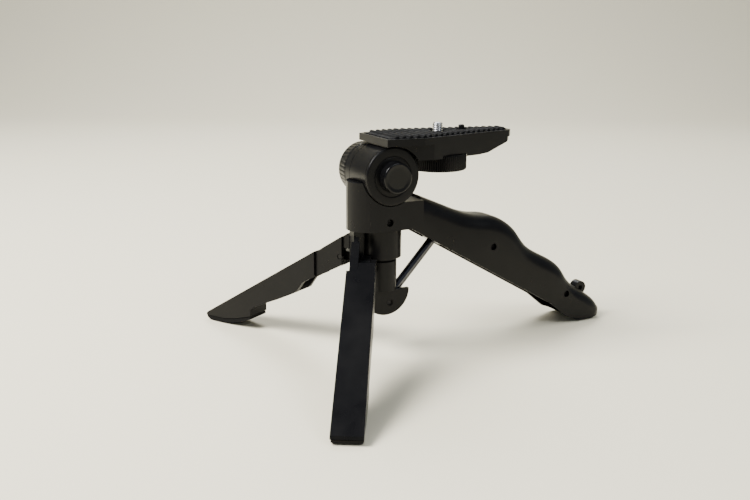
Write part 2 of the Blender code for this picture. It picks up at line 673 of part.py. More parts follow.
def pin_plug(mat, parent):
    """Pressed plug that closes the pin's spring pocket below."""
    plug = rod(PIN_PLUG_R, *PIN_PLUG_Z, (VIDEO_PIN_X, 0, 0), "Z", 24)
    return finish(plug, "pin_spring_plug", mat, (0, 0, BARREL_Z), parent)


# --- tilt hardware -------------------------------------------------------
def barrel_turned(name, profile, mat, parent, bore=None, segments=64):
    piece = turned(profile, (0, 0, BARREL_Z), "Y", segments)
    if bore is not None:
        cut(piece, barrel_slice(bore[0], bore[1], bore[2], 32))
    return finish(piece, name, mat, (0, 0, BARREL_Z), parent)


def hexagon(radius, low, high):
    return rod(radius, low, high, (0, 0, BARREL_Z), "Y", 6)


def tilt_hardware(mats, platform_axis, knob_axis):
    cover = ((BARREL_R - 0.0004, HUB_FRONT_Y - GAP), (BARREL_R, HUB_FRONT_Y - 0.0008),
             (BARREL_R, COVER_FRONT_Y + 0.0008), (BARREL_R - 0.0010, COVER_FRONT_Y))
    cover_piece = turned(tuple(reversed(cover)), (0, 0, BARREL_Z), "Y", 64)
    finish(cover_piece, "barrel_cover", mats["plastic"], (0, 0, BARREL_Z), platform_axis)
    barrel_turned("cover_cap", ((CAP_FACE_R, CAP_FACE_Y), (CAP_BASE_R - 0.0002, CAP_FACE_Y + 0.0012),
                                (CAP_BASE_R, COVER_FRONT_Y - GAP)), mats["gloss"], platform_axis)
    bolt = hexagon(0.0066, HUB_FRONT_Y + 0.0004, HUB_FRONT_Y + 0.0043)
    join(bolt, barrel_slice(BOLT_R, HUB_FRONT_Y + 0.0040, 0.0245, 32))
    finish(bolt, "tilt_bolt", mats["steel"], (0, 0, BARREL_Z), platform_axis)
    barrel_turned("friction_washer", ((0.0108, HUB_BACK_Y - 0.0007), (0.0108, HUB_BACK_Y)),
                  mats["fibre"], platform_axis, (0.0042, -0.01, 0.02))
    knob = ((BARREL_R - 0.0002, EAR_BACK_Y + GAP), (BARREL_R - 0.0002, KNOB_BACK_Y - 0.0040),
            (BARREL_R - 0.0013, KNOB_BACK_Y - 0.0016), (BARREL_R - 0.0036, KNOB_BACK_Y - 0.0003),
            (BARREL_R - 0.0060, KNOB_BACK_Y))
    knob_piece = turned(knob, (0, 0, BARREL_Z), "Y", 64)
    cut(knob_piece, barrel_slice(BOLT_BORE_R, 0.0, 0.0252, 32),
        hexagon(0.0071, 0.0, 0.0195))
    finish(knob_piece, "tilt_lock_knob", mats["plastic"], (0, 0, BARREL_Z), knob_axis)
    nut = hexagon(0.0067, EAR_BACK_Y + 0.0006, 0.0192)
    cut(nut, barrel_slice(BOLT_R + 0.0002, 0.0, 0.03, 32))
    finish(nut, "knob_nut", mats["brass"], (0, 0, BARREL_Z), knob_axis)


# --- folding column ------------------------------------------------------
def column_collar(mat, parent):
    """Round collar with the eye that swings in the neck."""
    collar = rod(COLLAR_R, COLLAR_BOTTOM_Z, COLLAR_TOP_Z, (0, 0, 0), "Z", 48)
    stem = box((PIVOT.x - EYE_R, -EYE_HALF_WIDTH, COLLAR_TOP_Z - 0.001),
               (PIVOT.x + EYE_R, EYE_HALF_WIDTH, PIVOT.z))
    eye = rod(EYE_R, -EYE_HALF_WIDTH, EYE_HALF_WIDTH, (PIVOT.x, 0, PIVOT.z), "Y", 32)
    join(collar, join(stem, eye))
    cut(collar, rod(STUD_R, -WIDE, WIDE, (PIVOT.x, 0, PIVOT.z), "Y", 24),
        rod(STUD_BORE_R, 0.05, 0.0780, (0, 0, 0), "Z", 24))
    return finish(collar, "column_collar", mat, PIVOT, parent)


def lower_column(mat, parent):
    """Lower tube with a chamfered shoulder below the collar."""
    top = COLLAR_BOTTOM_Z - GAP
    tube = turned(((LOWER_COLUMN_R, BLOCK_TOP_Z + GAP), (LOWER_COLUMN_R, top - 0.0022),
                   (LOWER_COLUMN_R - 0.0009, top - 0.0013), (LOWER_COLUMN_R - 0.0009, top)),
                  (0, 0, 0), "Z", 48)
    strut_relief = box((0.0066, -CLEVIS_HALF_SLOT, 0.04), (0.02, CLEVIS_HALF_SLOT, 0.0472))
    cut(tube, rod(STUD_BORE_R, 0.03, 0.07, (0, 0, 0), "Z", 24), strut_relief)
    return finish(tube, "lower_column", mat, PIVOT, parent)


def clevis_block(mat, parent):
    """Half-disc block whose slot takes the strut."""
    steps = 28
    outline = [(BLOCK_CENTRE_X + BLOCK_R, BLOCK_TOP_Z)]
    for k in range(steps + 1):
        angle = -math.radians(4) - math.radians(172) * k / steps
        outline.append((BLOCK_CENTRE_X + BLOCK_R * math.cos(angle),
                        BLOCK_TOP_Z + BLOCK_R * math.sin(angle)))
    outline.append((BLOCK_CENTRE_X - BLOCK_R, BLOCK_TOP_Z))
    block = prism(outline, -BLOCK_HALF_WIDTH, BLOCK_HALF_WIDTH)
    slot = CLEVIS_HALF_SLOT
    cut(block,
        box((STRUT_PIN.x - 0.0050, -slot, 0.01), (0.03, slot, 0.0412)),
        box((STRUT_PIN.x + 0.0012, -slot, 0.01), (0.03, slot, 0.05)),
        rod(STRUT_PIN_BORE_R, -WIDE, WIDE, (STRUT_PIN.x, 0, STRUT_PIN.z), "Y"),
        rod(0.0022, -WIDE, -BLOCK_HALF_WIDTH + 0.0006, (STRUT_PIN.x, 0, STRUT_PIN.z), "Y"),
        rod(STUD_BORE_R, 0.0395, 0.06, (0, 0, 0), "Z", 24))
    return finish(block, "clevis_block", mat, PIVOT, parent)


def column_bolt(mat, parent):
    """Long screw that draws block, tube and collar together."""
    bolt = rod(STUD_R, BLOCK_TOP_Z - 0.0012, 0.0770, (0, 0, 0), "Z", 24)
    return finish(bolt, "column_stud", mat, PIVOT, parent)


def leg_frame(side):
    """Local frame of a side leg: X runs outward along its azimuth, rear side is side * Y."""
    turn = Matrix.Rotation(side * LEG_AZIMUTH, 4, "Z")
    return Matrix.Translation((LEG_ORIGIN_X, 0, 0)) @ turn


def leg_hinge(side):
    return leg_frame(side) @ Vector((LEG_PIN_REACH, 0, LEG_PIN_Z))


def rear_slab(outline, side, inner, outer):
    """A prism across a leg from inner to outer, measured toward its rear side."""
    low, high = sorted((side * inner, side * outer))
    return prism(outline, low, high)


def moved(obj, matrix):
    obj.data.transform(matrix)
    return obj


def leg_carrier(mat, parent):
    """Spine behind the column with a lug for each side leg."""
    carrier = box((-0.0203, -0.0031, 0.0558), (-0.0163, 0.0031, 0.0823))
    web = box((-0.0173, -0.0016, 0.0562), (-0.0086, 0.0016, 0.0815))
    saddle = rod(0.0116, 0.0560, 0.0600, (0, 0, 0), "Z", 48)
    cut(saddle, box((-0.0080, -WIDE, 0.05), (0.02, WIDE, 0.07)))
    join(carrier, web, saddle)
    for side in (1, -1):
        frame = leg_frame(side)
        lug = rear_slab(LUG_OUTLINE, side, -LUG_FRONT, LUG_REAR)
        low, high = sorted((-side * (LUG_FRONT - 0.00003), side * (LUG_REAR - 0.00003)))
        join(lug, rod(LUG_EYE_R, low, high, (LEG_PIN_REACH, 0, LEG_PIN_Z), "Y", 24))
        join(carrier, moved(lug, frame))
        bore = rod(LEG_PIN_BORE_R, -WIDE, WIDE, (LEG_PIN_REACH, 0, LEG_PIN_Z), "Y")
        cut(carrier, moved(bore, frame))
    cut(carrier, rod(COLLAR_R + GAP, COLLAR_BOTTOM_Z - GAP, 0.10, (0, 0, 0), "Z", 48),
        rod(LOWER_COLUMN_R + GAP, 0.04, COLLAR_BOTTOM_Z, (0, 0, 0), "Z", 48))
    return finish(carrier, "leg_carrier", mat, PIVOT, parent)


def strut(mats, column_axis, strut_axis):
    """Steel rod from the block's clevis into the hollow grip."""
    lean = Matrix.Translation(STRUT_PIN) @ Matrix.Rotation(STRUT_ANGLE, 4, "Y")
    pin_place = (STRUT_PIN.x, 0, STRUT_PIN.z)
    guide_place = (0, 0, STRUT_LENGTH - 0.0032)
    bar = moved(rod(STRUT_R, 0.0030, STRUT_LENGTH, (0, 0, 0), "Z", 24), lean)
    join(bar, rod(0.0042, -STRUT_R, STRUT_R, pin_place, "Y", 32))
    cut(bar, rod(STRUT_PIN_BORE_R, -WIDE, WIDE, pin_place, "Y"),
        moved(rod(0.0012, -WIDE, WIDE, guide_place, "Y", 16), lean))
    finish(bar, "strut_rod", mats["dark_steel"], STRUT_PIN, strut_axis)
    guide = moved(rod(0.0009, -0.0100, 0.0100, guide_place, "Y", 16), lean)
    finish(guide, "strut_guide_pin", mats["steel"], STRUT_PIN, strut_axis)
    pin = rod(0.0013, -BLOCK_HALF_WIDTH + 0.0009, BLOCK_HALF_WIDTH - 0.0001, pin_place, "Y")
    finish(pin, "strut_pin", mats["dark_steel"], PIVOT, column_axis)


# --- side legs -----------------------------------------------------------
def leg_shell(name, side, mat, parent):
    """Channel-shaped leg, open below, with a cheek, an ear and a stop tongue."""
    shell = prism(LEG_OUTLINE, -LEG_HALF_WIDTH, LEG_HALF_WIDTH)
    join(shell, rear_slab(LEG_HEAD, side, -HEAD_FRONT, HEAD_REAR))
    inner = LEG_HALF_WIDTH - LEG_WALL
    cut(shell, rear_slab(LEG_HOLLOW, side, -HEAD_FRONT + LEG_WALL, HEAD_REAR - LEG_WALL),
        prism(FOOT_HOLLOW, -inner, inner))
    join(shell,
         rear_slab(CHEEK_OUTLINE, side, CHEEK_INNER, CHEEK_OUTER),
         rear_slab(TONGUE_OUTLINE, side, CHEEK_INNER + 0.0010, CHEEK_OUTER - 0.0014),
         rear_slab(EAR_OUTLINE, side, -LEG_HALF_WIDTH + 0.0005, -EAR_INNER))
    cut(shell, rod(LEG_PIN_BORE_R, -WIDE, WIDE, (LEG_PIN_REACH, 0, LEG_PIN_Z), "Y"))
    return finish(moved(shell, leg_frame(side)), name, mat, leg_hinge(side), parent)


def leg_foot(name, side, mat, parent):
    """Rubber foot with a rounded sole."""
    foot = prism(LEG_FOOT_OUTLINE, -LEG_HALF_WIDTH + 0.0004, LEG_HALF_WIDTH - 0.0004)
    return finish(moved(foot, leg_frame(side)), name, mat, leg_hinge(side), parent)


def leg_pin(name, side, mat, parent):
    """Steel pin through the leg's cheek and ear and the carrier's lug."""
    low, high = sorted((-side * (LEG_HALF_WIDTH - 0.0009), side * (CHEEK_OUTER - 0.0004)))
    pin = rod(LEG_PIN_R, low, high, (LEG_PIN_REACH, 0, LEG_PIN_Z), "Y")
    return finish(moved(pin, leg_frame(side)), name, mat, PIVOT, parent)


# --- assembly ------------------------------------------------------------
def build():
    clear_scene()
    mats = {
        "plastic": make_material("black_abs", (0.018, 0.018, 0.020), 0.38),
        "gloss": make_material("gloss_black_abs", (0.015, 0.015, 0.017), 0.22),
        "rubber": make_material("black_rubber", (0.016, 0.016, 0.017), 0.75),
        "steel": make_material("zinc_steel", (0.62, 0.62, 0.63), 0.28, 1.0),
        "dark_steel": make_material("black_plated_steel", (0.10, 0.10, 0.105), 0.25, 1.0),
        "brass": make_material("brass", (0.75, 0.56, 0.26), 0.30, 1.0),
        "fibre": make_material("nylon_washer", (0.62, 0.60, 0.55), 0.55),
    }
    platform_axis = joint_empty("axis_platform_tilt", (0, 0, BARREL_Z))
    knob_axis = joint_empty("axis_lock_knob", (0, 0, BARREL_Z))
    screw_axis = joint_empty("axis_camera_screw", (SCREW_X, 0, BARREL_Z), platform_axis)
    pin_axis = joint_empty("axis_video_pin", (VIDEO_PIN_X, 0, VIDEO_PIN_FOOT_Z), platform_axis)
    column_axis = joint_empty("axis_column_fold", PIVOT)
    strut_axis = joint_empty("axis_strut", STRUT_PIN, column_axis)

    shell_half("grip_shell_right", mats["plastic"], True)
    shell_half("grip_shell_left", mats["plastic"], False)
    for name, place in SHELL_SCREWS.items():
        shell_screw(name, place, mats["dark_steel"], SCREW_SHANK_R)
    shell_screw("column_pivot_screw", (PIVOT.x, PIVOT.z), mats["dark_steel"], PIVOT_SCREW_R)
    grip_foot_pad(mats["rubber"])
    strap_lug(mats["plastic"])

    camera_platform(mats["plastic"], platform_axis)
    platform_pad(mats["rubber"], platform_axis)
    pin_plug(mats["plastic"], platform_axis)
    pin_spring(mats["steel"], platform_axis)
    tilt_hardware(mats, platform_axis, knob_axis)
    camera_screw(mats["steel"], screw_axis)
    thumb_wheel(mats["plastic"], screw_axis)
    screw_washer(mats["steel"], screw_axis)
    video_pin(mats["plastic"], pin_axis)

    column_collar(mats["plastic"], column_axis)
    lower_column(mats["plastic"], column_axis)
    clevis_block(mats["plastic"], column_axis)
    column_bolt(mats["steel"], column_axis)
    leg_carrier(mats["plastic"], column_axis)
    strut(mats, column_axis, strut_axis)
    for name, side in (("left", 1), ("right", -1)):
        leg_axis = joint_empty("axis_leg_" + name, leg_hinge(side), column_axis)
        leg_shell("side_leg_" + name, side, mats["plastic"], leg_axis)
        leg_foot("leg_foot_" + name, side, mats["rubber"], leg_axis)
        leg_pin("leg_pin_" + name, side, mats["dark_steel"], column_axis)


build()
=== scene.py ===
"""Looks of the folding pistol-grip table tripod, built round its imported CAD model.

Metres, +Z up. A detailed piece takes its place and its overall size from the box of the
CAD node that it stands for. The sizes below are insets, depths and radii inside that box.
"""

import json
import math

import bmesh
import bpy
from mathutils import Matrix, Vector


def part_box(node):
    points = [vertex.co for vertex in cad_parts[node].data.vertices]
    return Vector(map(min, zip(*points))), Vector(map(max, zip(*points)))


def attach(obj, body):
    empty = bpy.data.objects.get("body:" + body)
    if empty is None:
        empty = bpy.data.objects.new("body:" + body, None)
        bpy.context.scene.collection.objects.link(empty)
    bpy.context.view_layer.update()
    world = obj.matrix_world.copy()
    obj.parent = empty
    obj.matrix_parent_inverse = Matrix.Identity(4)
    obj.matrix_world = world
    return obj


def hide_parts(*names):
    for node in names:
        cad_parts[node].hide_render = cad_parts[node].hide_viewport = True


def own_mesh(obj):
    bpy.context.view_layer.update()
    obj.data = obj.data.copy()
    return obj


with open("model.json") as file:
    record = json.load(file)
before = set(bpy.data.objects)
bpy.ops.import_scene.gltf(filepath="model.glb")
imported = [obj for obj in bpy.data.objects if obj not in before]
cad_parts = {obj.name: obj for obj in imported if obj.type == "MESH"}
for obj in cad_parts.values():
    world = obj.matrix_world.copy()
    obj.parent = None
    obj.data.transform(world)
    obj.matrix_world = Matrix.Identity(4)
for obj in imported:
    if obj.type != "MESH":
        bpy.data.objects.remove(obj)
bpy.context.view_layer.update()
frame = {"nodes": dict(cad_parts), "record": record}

BODY_OF = {n: b for b, nodes in frame["record"]["behaviour"]["bodies"].items() for n in nodes}
SLOT_OF = {s["node"]: s["material_slot"] for s in frame["record"]["subparts"]}

# CAD nodes with rounded edges: width of the rounding, largest angle left as it is
ROUNDED_NODES = {
    "camera_platform": (0.0005, 14), "side_leg_left": (0.0005, 14), "side_leg_right": (0.0005, 14),
    "column_collar": (0.0006, 20), "lower_column": (0.0005, 20), "clevis_block": (0.0006, 20),
    "leg_carrier": (0.0003, 20), "strap_lug": (0.0005, 30), "leg_foot_left": (0.0004, 30),
    "leg_foot_right": (0.0004, 30), "grip_foot_pad": (0.0003, 30), "strut_rod": (0.0004, 30)}
ROUNDING_SEGMENTS = 3
WELD_DISTANCE = 0.000002
CAD_SMOOTH_ANGLE = 21

# detailed pieces: the sharpest edge, in degrees, that is still shaded smooth
SMOOTH_ANGLE = 34
SMOOTH_ANGLE_FINE = 50
SMOOTH_ANGLE_TEETH = 60
MERGE_DISTANCE = 1e-7
AXIS_RADIUS = 1e-6
FILLET_SHARE = 0.49         # of an edge, the most that one fillet may take

# looks that every material shares: a noise texture's usual range, and the dust's colour
NOISE_LOW, NOISE_HIGH = 0.3, 0.7
DUST_GAIN, DUST_LIFT = 2.6, 0.01

# barrel cover: flat face, thin ring groove (its corners measured in from the rim), round rim
DRUM_FILLET_STEPS = 8
COVER_FACE_DEPTH = 0.0001
COVER_GROOVE = (0.0062, 0.0060, 0.0056, 0.0052)
COVER_GROOVE_DEPTH = 0.0004
COVER_RIM_FILLET = 0.0011
COVER_BACK_INSET = 0.0020

# cover cap: dished face inside a soft lip
CAP_DISH_DEPTH = 0.0003
CAP_DISH_INSET = 0.0034
CAP_LIP_INSET = 0.0016
CAP_SHOULDER = (0.0007, 0.0002)

# lock knob: dished back, domed shoulder, pocket for the nut, hole for the bolt, flutes
KNOB_SEGMENTS = 240
KNOB_DISH_DEPTH = 0.0004
KNOB_DISH_INSET = 0.0075
KNOB_LIP_INSET = 0.0055
KNOB_SHOULDER = (0.0010, 0.0012)
KNOB_SIDE_FROM = 0.0030
KNOB_MOUTH_INSET = 0.0003
NUT_POCKET_R, NUT_POCKET_DEPTH = 0.0073, 0.0048
BOLT_HOLE_R, BOLT_HOLE_DEPTH = 0.0042, 0.0105
FLUTES = 40
FLUTE_DEPTH = 0.0003
FLUTE_FROM, FLUTE_TO = 0.0007, 0.0030
FLUTE_REACH = 0.0012

# camera screw
SCREW_SIDES = 64
THREAD_PITCH = 0.00127
THREAD_LENGTH = 0.0064
THREAD_STEPS = 90
THREAD_DEPTH = 0.00052
THREAD_SLOPE, THREAD_FLAT = 2.6, 0.2
THREAD_RUN_IN = 0.0004
TIP_LENGTH, TIP_CUT = 0.0007, 0.0009

# thumb wheel
WHEEL_TEETH = 84
SEGMENTS_PER_TOOTH = 6
TOOTH_DEPTH = 0.0007
TOOTH_REACH = 0.0005
WHEEL_FILLET = 0.0008
WHEEL_BORE_R = 0.0034
WHEEL_DISH_R = (0.0125, 0.0121)
WHEEL_DISH_DEPTH = 0.0030
WHEEL_HUB_R, WHEEL_HUB_SET_BACK = 0.0060, 0.0004

# video pin and its spring
PIN_SEGMENTS = 48
PIN_FLANGE_R, PIN_FLANGE_HEIGHT = 0.0030, 0.0012
PIN_R = 0.0019
PIN_NOSE_R, PIN_NOSE_HEIGHT = 0.0011, 0.0004
SPRING_WIRE_R = 0.0003
SPRING_TURNS = 4
SPRING_STEPS = 32
SPRING_SIDES = 10

# platform pad: plan, ribs across it, holes for screw and pin
PAD_WIDEST_FROM_BACK = 0.0217
PAD_END_LENGTH = 0.0030
PAD_BACK_INSET = 0.0029
PAD_FRONT_HALF = 0.0048
PAD_SIDE_GAP = 0.0002
PAD_SPANS, PAD_SUBSPANS = 120, 4
PAD_EDGE = 0.0006
PAD_EDGE_CUT = 0.3
SCREW_HOLE_R, PIN_HOLE_R = 0.0052, 0.0030
HOLE_EDGE_SHARE = 0.9999
RIB_PITCH = 0.0044
RIB_HEIGHT = 0.0011
RIB_GAP_SHARE = 0.42
RIB_ROUNDNESS = 3.2
RIBS_START, RIBS_END = 0.0042 - 0.0020, 0.0012

# studio: the backdrop stands square to the camera
CAMERA_PLACE = (-0.28332, -0.45815, 0.20163)
CAMERA_TURN, CAMERA_TIP, CAMERA_ROLL = -27.15, 90 - 14.76, 0.36
CAMERA_LENS = 41.47
CAMERA_SENSOR = 36.0
CAMERA_CLIP_START = 0.01
FLOOR_FRONT, FLOOR_BACK, FLOOR_HALF_WIDTH = -3.0, 1.3, 4.0
COVE_RADIUS, COVE_STEPS = 0.9, 24
WALL_TOP = 3.0
FLOOR_COLOUR = (0.84, 0.78, 0.60, 1)
WORLD_COLOUR, WORLD_STRENGTH = (0.80, 0.88, 1.0, 1), 0.32
LIGHTS = {                  # place, target, size, watts, colour
    "key_light": ((-1.0, 0.15, 1.15), (0, 0, 0.08), (0.7, 0.7), 58, (1.0, 0.99, 0.97)),
    "back_light": ((0.5, 1.0, 1.3), (0, 0.2, 0.0), (0.9, 0.6), 22, (0.95, 0.97, 1.0)),
    "front_light": ((0.5, -1.3, 1.3), (0, 0, 0.0), (0.8, 0.5), 14, (0.9, 0.95, 1.0))}


# --- material tools --------------------------------------------------------
def new_material(name):
    mat = bpy.data.materials.new(name)
    mat.use_nodes = True
    tree = mat.node_tree
    return mat, tree, tree.nodes["Principled BSDF"]


def node(tree, kind, **values):
    """New shader node with its sockets and its own settings given by name."""
    made = tree.nodes.new(kind)
    for key, value in values.items():
        if key in made.inputs:
            made.inputs[key].default_value = value
        else:
            setattr(made, key, value)
    return made


def textures(tree, *settings):
    """Texture nodes that all read the object's own coordinates."""
    place = node(tree, "ShaderNodeTexCoord").outputs["Object"]
    made = []
    for kind, values in settings:
        texture = node(tree, kind, **values)
        tree.links.new(place, texture.inputs["Vector"])
        made.append(texture)
    return made


def ramp(tree, source, *stops):
    """Colour ramp between two (position, colour) stops."""
    made = tree.nodes.new("ShaderNodeValToRGB")
    for element, (position, colour) in zip(made.color_ramp.elements, stops):
        element.position = position
        element.color = (*colour, 1)
    tree.links.new(source, made.inputs["Fac"])
    return made.outputs["Color"]


def spread(tree, source, target, low, high):
    """Drive a shader socket from a noise texture's usual range, between two values."""
    made = node(tree, "ShaderNodeMapRange")
    for key, value in (("From Min", NOISE_LOW), ("From Max", NOISE_HIGH),
                       ("To Min", low), ("To Max", high)):
        made.inputs[key].default_value = value
    tree.links.new(source, made.inputs["Value"])
    tree.links.new(made.outputs["Result"], target)


def bumped(tree, bsdf, source, strength, distance):
    bump = node(tree, "ShaderNodeBump", Strength=strength, Distance=distance)
    tree.links.new(source, bump.inputs["Height"])
    tree.links.new(bump.outputs["Normal"], bsdf.inputs["Normal"])


# --- materials ---------------------------------------------------------------
def moulded_plastic(name, dark, light, roughness, grain=0.06, specular=0.5):
    """Moulded ABS: fine spark-eroded grain, faint handling marks and specks of dust."""
    mat, tree, bsdf = new_material(name)
    marks, fine, dust = textures(
        tree, ("ShaderNodeTexNoise", {"Scale": 38.0, "Detail": 5.0, "Roughness": 0.55}),
        ("ShaderNodeTexNoise", {"Scale": 3200.0, "Detail": 3.0, "Roughness": 0.6}),
        ("ShaderNodeTexVoronoi", {"Scale": 420.0}))
    colour = ramp(tree, marks.outputs["Fac"], (0.3, dark), (0.72, light))
    speck = ramp(tree, dust.outputs["Distance"], (0.03, (1, 1, 1)), (0.055, (0, 0, 0)))
    mix = node(tree, "ShaderNodeMix", data_type="RGBA")
    tree.links.new(speck, mix.inputs["Factor"])
    tree.links.new(colour, mix.inputs["A"])
    mix.inputs["B"].default_value = (*(c * DUST_GAIN + DUST_LIFT for c in light), 1)
    tree.links.new(mix.outputs["Result"], bsdf.inputs["Base Color"])
    spread(tree, marks.outputs["Fac"], bsdf.inputs["Roughness"], *roughness)
    bumped(tree, bsdf, fine.outputs["Fac"], grain, 0.0002)
    bsdf.inputs["Specular IOR Level"].default_value = specular
    return mat


def rubber(name, dark, light, roughness):
    """Matte rubber with a chalky bloom and a fine crumb."""
    mat, tree, bsdf = new_material(name)
    bloom, crumb = textures(
        tree, ("ShaderNodeTexNoise", {"Scale": 60.0, "Detail": 6.0, "Roughness": 0.6}),
        ("ShaderNodeTexNoise", {"Scale": 2600.0, "Detail": 2.0}))
    colour = ramp(tree, bloom.outputs["Fac"], (0.3, dark), (0.75, light))
    tree.links.new(colour, bsdf.inputs["Base Color"])
    spread(tree, bloom.outputs["Fac"], bsdf.inputs["Roughness"], *roughness)
    bumped(tree, bsdf, crumb.outputs["Fac"], 0.16, 0.0002)
    bsdf.inputs["Specular IOR Level"].default_value = 0.09
    return mat


def plated(name, dark, light, roughness):
    """Plated or polished metal with faint drawn lines and cloudy roughness."""
    mat, tree, bsdf = new_material(name)
    cloud, lines = textures(
        tree, ("ShaderNodeTexNoise", {"Scale": 220.0, "Detail": 4.0}),
        ("ShaderNodeTexNoise", {"Scale": 1800.0, "Detail": 2.0}))
    colour = ramp(tree, cloud.outputs["Fac"], (0.3, dark), (0.7, light))
    tree.links.new(colour, bsdf.inputs["Base Color"])
    spread(tree, cloud.outputs["Fac"], bsdf.inputs["Roughness"], *roughness)
    bsdf.inputs["Metallic"].default_value = 1.0
    bumped(tree, bsdf, lines.outputs["Fac"], 0.05, 0.0001)
    return mat


MATERIALS = {               # name, darkest and lightest colour, lowest and highest roughness
    "black_abs": moulded_plastic(
        "black_abs_look", (0.0022, 0.0022, 0.0027), (0.005, 0.0048, 0.005), (0.25, 0.38), specular=0.14),
    "gloss_black_abs": moulded_plastic(
        "gloss_abs_look", (0.0022, 0.0022, 0.0026), (0.0045, 0.0045, 0.0047), (0.16, 0.26),
        grain=0.02, specular=0.2),
    "black_rubber": rubber(
        "rubber_look", (0.0035, 0.0035, 0.0038), (0.008, 0.0078, 0.0078), (0.62, 0.85)),
    "zinc_steel": plated(
        "zinc_look", (0.55, 0.55, 0.56), (0.7, 0.7, 0.7), (0.2, 0.36)),
    "black_plated_steel": plated(
        "black_plate_look", (0.012, 0.012, 0.013), (0.026, 0.026, 0.028), (0.3, 0.45)),
    "brass": plated(
        "brass_look", (0.62, 0.45, 0.2), (0.78, 0.6, 0.3), (0.24, 0.4)),
    "nylon": moulded_plastic(
        "nylon_look", (0.5, 0.48, 0.43), (0.64, 0.62, 0.56), (0.45, 0.6)),
}
NODE_PAINTED_SHEEN_MATERIALS = {          # a node that is smoother than the rest of its slot, and lighter in colour as painted sheen for its bright highlight
    # strut rod: the lower roughness is its real finish; the colour, lighter than black_plate_look, is
    # painted sheen
    "strut_rod": plated("strut_painted_sheen_look", (0.06, 0.06, 0.065), (0.10, 0.10, 0.107), (0.13, 0.24))}


# --- mesh tools ------------------------------------------------------------
def filleted(points, steps=6):
    """A line of (a, b, radius) corners with each corner rounded by its own radius."""
    line = []
    for i, (a, b, radius) in enumerate(points):
        corner = Vector((a, b))
        if not radius or i in (0, len(points) - 1):
            line.append(corner)
            continue
        back = Vector(points[i - 1][:2]) - corner
        ahead = Vector(points[i + 1][:2]) - corner
        half = back.angle(ahead) / 2
        reach = min(radius / math.tan(half), back.length * FILLET_SHARE, ahead.length * FILLET_SHARE)
        start, end = corner + back.normalized() * reach, corner + ahead.normalized() * reach
        weight = math.sin(half)
        for k in range(steps + 1):
            t = k / steps
            w = (1 - t) ** 2, 2 * t * (1 - t) * weight, t ** 2
            line.append((start * w[0] + corner * w[1] + end * w[2]) / sum(w))
    return [tuple(p) for p in line]


def skin(bm, rings):
    """Faces between neighbouring rings of vertices and over both ends.

    A ring of one vertex is a pole. Where the ends fall together, one face stays between them.
    """
    sides = max(len(ring) for ring in rings)
    for a, b in zip(rings, rings[1:]):
        for k in range(sides):
            j = (k + 1) % sides
            corners = (a[k % len(a)], a[j % len(a)], b[j % len(b)], b[k % len(b)])
            bm.faces.new(list(dict.fromkeys(corners)))
    for ring in (rings[0], rings[-1]):
        if len(ring) > 1:
            bm.faces.new(ring)


def around(segments):
    """Evenly spaced angles, one full turn."""
    return [2 * math.pi * k / segments for k in range(segments)]


def lathed(profile, turn, segments=96, wave=None):
    """A solid of revolution about local Z, then turned into place.

    wave, if given, says how far the surface lies inside the profile at each point.
    """
    bm = bmesh.new()
    rings = []
    for radius, height in profile:
        if radius < AXIS_RADIUS:
            rings.append([bm.verts.new((0, 0, height))])
            continue
        ring = []
        for angle in around(segments):
            r = radius - (wave(angle, radius, height) if wave else 0)
            ring.append(bm.verts.new((r * math.cos(angle), r * math.sin(angle), height)))
        rings.append(ring)
    skin(bm, rings)
    bm.transform(turn)
    return bm


def piece(stands_for, bm, smooth_angle=SMOOTH_ANGLE):
    """Make bm the visible form of a CAD node, on that node's body and in its material."""
    name = stands_for + "_form"
    bmesh.ops.remove_doubles(bm, verts=bm.verts, dist=MERGE_DISTANCE)
    bmesh.ops.recalc_face_normals(bm, faces=bm.faces)
    mesh = bpy.data.meshes.new(name)
    bm.to_mesh(mesh)
    bm.free()
    mesh.shade_smooth()
    mesh.set_sharp_from_angle(angle=math.radians(smooth_angle))
    obj = bpy.data.objects.new(name, mesh)
    bpy.context.collection.objects.link(obj)
    mesh.materials.append(MATERIALS[SLOT_OF[stands_for]])
    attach(obj, BODY_OF[stands_for])
    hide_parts(stands_for)
    return obj


def rounded_edges(obj, width, angle):
    mod = obj.modifiers.new("rounded_edges", "BEVEL")
    mod.limit_method = "ANGLE"
    mod.angle_limit = math.radians(angle)
    mod.width = width
    mod.segments = ROUNDING_SEGMENTS
    mod.use_clamp_overlap = True
    mod.harden_normals = True


def middle(name):
    low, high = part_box(name)
    return (low + high) / 2


def box_and_radius(name):
    """Corners of a round node's box, and its radius."""
    low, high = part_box(name)
    return low, high, (high.x - low.x) / 2


# --- tilt drum: cover, cap and lock knob -----------------------------------
# each profile runs from the axis outward in rows of (radius, place on the axis, fillet)
def barrel_cover(low, high, r):
    face, groove = low.y + COVER_FACE_DEPTH, low.y + COVER_GROOVE_DEPTH
    a, b, c, d = COVER_GROOVE
    return ((0, face, 0), (r - a, face, 0.0002), (r - b, groove, 0.0002), (r - c, groove, 0.0002),
            (r - d, low.y, 0.0003), (r, low.y, COVER_RIM_FILLET), (r, high.y, 0.0002),
            (r - COVER_BACK_INSET, high.y, 0), (0, high.y, 0))


def cover_cap(low, high, r):
    dish = low.y + CAP_DISH_DEPTH
    return ((0, dish, 0), (r - CAP_DISH_INSET, dish, 0.004), (r - CAP_LIP_INSET, low.y, 0.0008),
            (r - CAP_SHOULDER[0], low.y + CAP_SHOULDER[1], 0.0016), (r, high.y, 0.0002), (0, high.y, 0))


